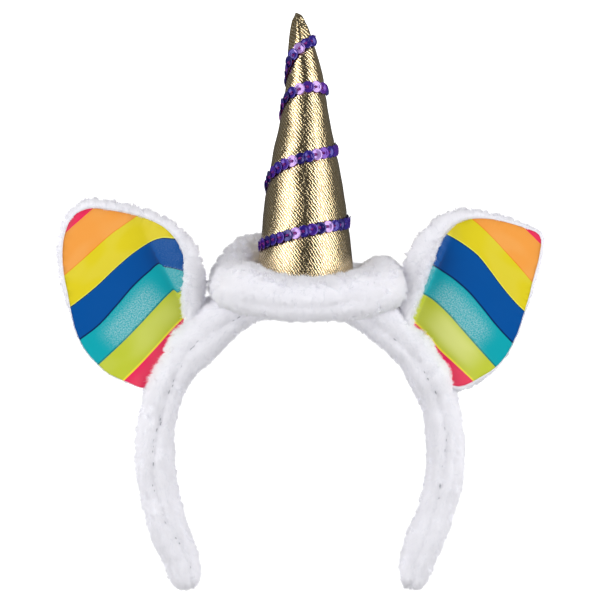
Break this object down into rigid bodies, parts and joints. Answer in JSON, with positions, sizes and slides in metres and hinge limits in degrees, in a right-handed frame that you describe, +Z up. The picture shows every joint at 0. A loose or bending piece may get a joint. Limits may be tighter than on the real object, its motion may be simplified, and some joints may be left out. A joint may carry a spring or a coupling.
{
  "type": "unicorn horn headband",
  "caption": "Plush-covered open headband with a stuffed tapering horn in a padded ring, a sequin trim winding up the horn, and ears lined with striped satin.",
  "frame": {"origin": "on the surface that the headband lies on, below the middle of its box", "axes": "+X to the right of the headband as its front is seen, +Y along it from the tips of the band to the tip of the horn, +Z up from the surface, the way its front faces"},
  "size_m": [0.2204, 0.2682, 0.0858],
  "materials": {
    "plush": "white short-pile plush",
    "gold_lame": "gold lame with a metallic sheen",
    "sequins": "glossy violet cupped sequins",
    "striped_satin": "satin with seven printed rainbow stripes"
  },
  "bodies": {
    "root": {"band": "plush", "ring": "plush", "horn": "gold_lame", "sequin_trim": "sequins", "left_ear_back": "plush", "left_ear_lining": "striped_satin", "right_ear_back": "plush", "right_ear_lining": "striped_satin"}
  },
  "joints": []
}
